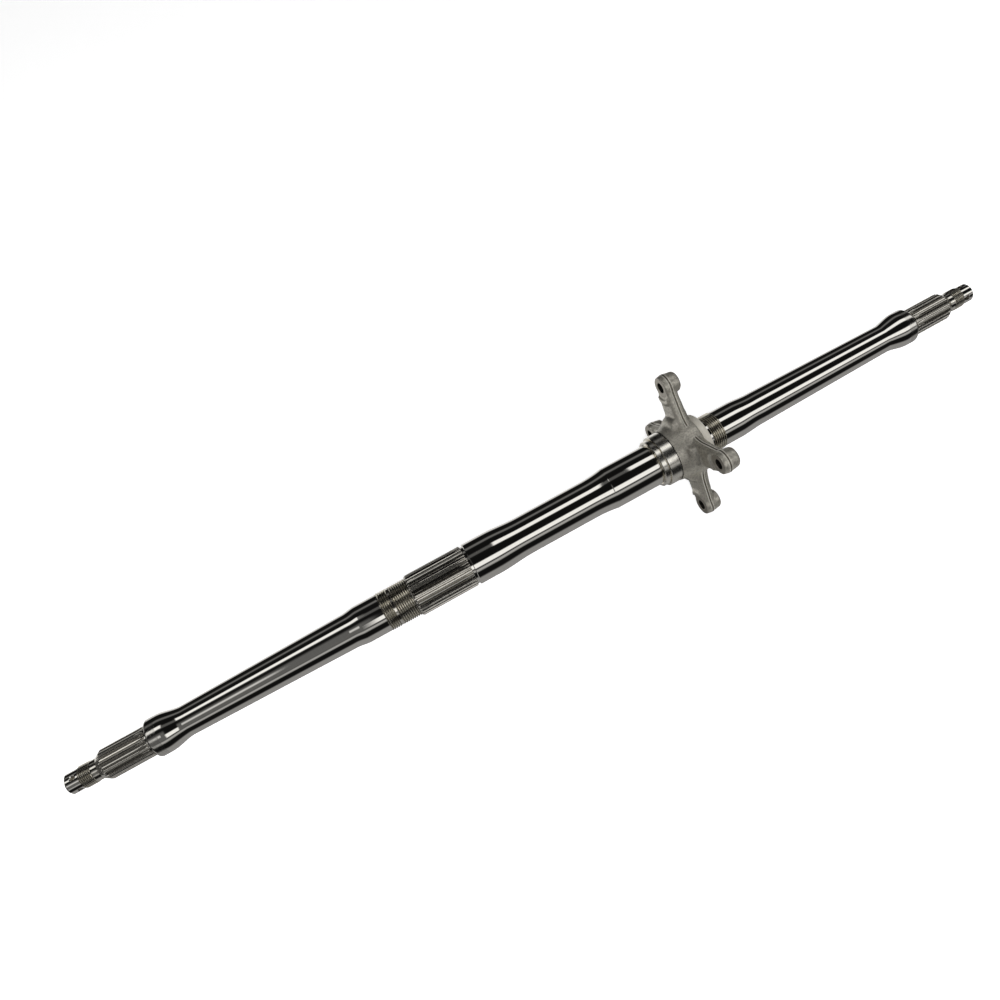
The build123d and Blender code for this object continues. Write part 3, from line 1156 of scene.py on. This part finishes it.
@dataclass
class Studio:
    """A tunnel of soft boxes and black cards, a pale floor and the camera."""

    floor_z: float
    panels: tuple = (
        Panel(-28, -9, 1.1, start=20.0),
        Panel(-30, -14, 1.1, end=-540.0),
        Panel(-25, -10, 0.1, 6),
        Panel(31, 52, 1.1, start=-480.0),
        Panel(20, 33, 0.7, 8, end=-780.0),
        Panel(10, 60, 0.13, 14, end=-460.0),
        Panel(60, 73, 0.45, 8),
        Panel(-72, -58, 0.16, 8),
        Panel(-160, -114, 0.85, 14),
        Panel(112, 180, 0.3, 12),
    )
    radius: float = 1600.0
    half_length: float = 3200.0
    floor_half: float = 4500.0
    tunnel_step: float = 1.5
    tunnel_rows: int = 161
    end_fade: float = 60.0
    card_glow: float = 0.006
    outside_glow: float = 0.06
    floor_glow: float = 0.72
    floor_white: float = 0.9
    lamp_place: tuple = (-0.5, -0.7, 1.15)
    lamp_size: tuple = (1.6, 1.2)
    lamp_watts: float = 15.0
    camera_place: tuple = (-0.26969, -0.23423, 0.66625)
    camera_turn: tuple = (23.3396, 4.225, -29.0166)
    lens: float = 28.11
    sensor: float = 36.0

    def radiance(self, x: np.ndarray, degrees: np.ndarray) -> np.ndarray:
        """Return the brightness at each x and angle: that of the brightest panel there.

        A panel counts in full inside its edges, and fades linearly over its soft width
        and over end_fade at its ends.  The black cards return a little light too.
        """
        glow = np.full(degrees.shape, self.card_glow)
        for panel in self.panels:
            inside = np.minimum(x - panel.start, panel.end - x)
            along = np.clip(inside / self.end_fade + 0.5, 0, 1)
            for lap in (-360, 0, 360):
                a = degrees + lap
                edge = np.minimum(a - panel.low, panel.high - a) / panel.soft + 0.5
                glow = np.maximum(glow, panel.radiance * np.clip(edge, 0, 1) * along)
        return glow

    def tunnel(self) -> None:
        """Build the soft boxes as one tube that the camera doesn't see."""
        degrees, x = np.meshgrid(
            np.arange(0.0, 360.0, self.tunnel_step),
            np.linspace(-self.half_length, self.half_length, self.tunnel_rows),
        )
        turn = np.radians(degrees)
        points = np.stack([x, -np.sin(turn) * self.radius, np.cos(turn) * self.radius], -1)
        faces = tube_faces(*x.shape).tolist()
        material, tree = blank_material("soft_boxes")
        level = add_node(tree, "ShaderNodeAttribute", {"attribute_name": "radiance"})
        glow = add_node(tree, "ShaderNodeEmission", inputs={"Strength": level.outputs["Fac"]})
        add_node(tree, "ShaderNodeOutputMaterial", inputs={"Surface": glow.outputs["Emission"]})
        made = mesh_object("soft_boxes", points.reshape(-1, 3), faces, material)
        layer = made.data.attributes.new("radiance", "FLOAT", "POINT")
        layer.data.foreach_set("value", self.radiance(x, degrees).ravel().astype(np.float32))
        made.visible_camera = False
        made.visible_shadow = False
        made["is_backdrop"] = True

    def floor(self) -> None:
        """Build the pale floor, which lifts towards white for the camera alone."""
        s, z = self.floor_half, self.floor_z
        corners = np.array([(-s, -s, z), (s, -s, z), (s, s, z), (-s, s, z)])
        material, tree = blank_material("matt_white_paper")
        seen = add_node(tree, "ShaderNodeLightPath").outputs["Is Camera Ray"]
        level = add_node(
            tree, "ShaderNodeMath", {"operation": "MULTIPLY"}, {0: seen, 1: self.floor_glow}
        ).outputs["Value"]
        glow = add_node(tree, "ShaderNodeEmission", inputs={"Strength": level})
        glow = glow.outputs["Emission"]
        paper = (self.floor_white, self.floor_white, self.floor_white, 1.0)
        matt = add_node(tree, "ShaderNodeBsdfDiffuse", inputs={"Color": paper}).outputs["BSDF"]
        both = add_node(tree, "ShaderNodeAddShader", inputs={0: matt, 1: glow}).outputs["Shader"]
        add_node(tree, "ShaderNodeOutputMaterial", inputs={"Surface": both})
        made = mesh_object("floor", corners, [[0, 1, 2, 3]], material)
        made.visible_glossy = False
        made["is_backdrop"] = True

    def fill(self) -> None:
        """Hang a large soft lamp that lights matt surfaces and leaves no reflection."""
        data = bpy.data.lights.new("fill", "AREA")
        data.shape = "RECTANGLE"
        data.size, data.size_y = self.lamp_size
        data.energy = self.lamp_watts
        made = bpy.data.objects.new("fill", data)
        made.location = self.lamp_place
        made.visible_glossy = False
        bpy.context.scene.collection.objects.link(made)

    def world(self) -> None:
        """Make the surroundings white for the camera and dark past the soft boxes."""
        world = bpy.data.worlds.new("studio")
        world.use_nodes = True
        tree = world.node_tree
        tree.nodes.clear()
        seen = add_node(tree, "ShaderNodeLightPath").outputs["Is Camera Ray"]
        level = remap(tree, seen, (0.0, 1.0), (self.outside_glow, 1.0))
        sky = add_node(tree, "ShaderNodeBackground", inputs={"Strength": level})
        sky.inputs["Color"].default_value = (1.0, 1.0, 1.0, 1.0)
        add_node(tree, "ShaderNodeOutputWorld", inputs={"Surface": sky.outputs["Background"]})
        bpy.context.scene.world = world

    def camera(self) -> None:
        """Place the camera."""
        data = bpy.data.cameras.new("camera")
        data.lens = self.lens
        data.sensor_width = self.sensor
        made = bpy.data.objects.new("camera", data)
        made.location = self.camera_place
        made.rotation_euler = [math.radians(angle) for angle in self.camera_turn]
        bpy.context.scene.collection.objects.link(made)
        bpy.context.scene.camera = made

    def build(self) -> None:
        """Build the studio and set the plain view transform."""
        self.tunnel()
        self.floor()
        self.fill()
        self.world()
        self.camera()
        bpy.context.scene.view_settings.view_transform = "Standard"


def mounts() -> dict:
    """Return the record's mounts by name."""
    return {mount["name"]: mount for mount in frame["record"]["mounts"]}


def journal(mount: dict, edge: float) -> tuple:
    """Return the low and high x of a journal, with an edge added at each end."""
    middle = mount["pos_m"][0] / MM
    half = mount["dims"]["length_mm"] / 2 + edge
    return middle - half, middle + half


def main() -> None:
    """Build the axle, the hub and the studio in order."""
    logging.basicConfig(level=logging.INFO, format="%(message)s")
    cad_low, cad_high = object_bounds()
    low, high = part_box("axle_shaft")
    known = mounts()
    bolts = known["sprocket_bolts"]["dims"]
    left = WheelEnd("left", low[0] / MM, -1, -5.6)
    right = WheelEnd("right", high[0] / MM, 1, 57.0)
    journals = [journal(known["left_journal"], 0.5), journal(known["right_journal"], 0.9)]
    Shaft(left, right, journals).build()
    hub_low, hub_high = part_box("sprocket_hub")
    hub_node = frame["nodes"]["sprocket_hub"]
    pattern = (bolts["pcd_mm"] / 2, bolts["count"], bolts["hole_r_mm"])
    SprocketHub(hub_node, hub_low[0] / MM, hub_high[0] / MM, *pattern).build()
    Studio(floor_z=cad_low[2] / MM).build()


if __name__ == "__main__":
    main()
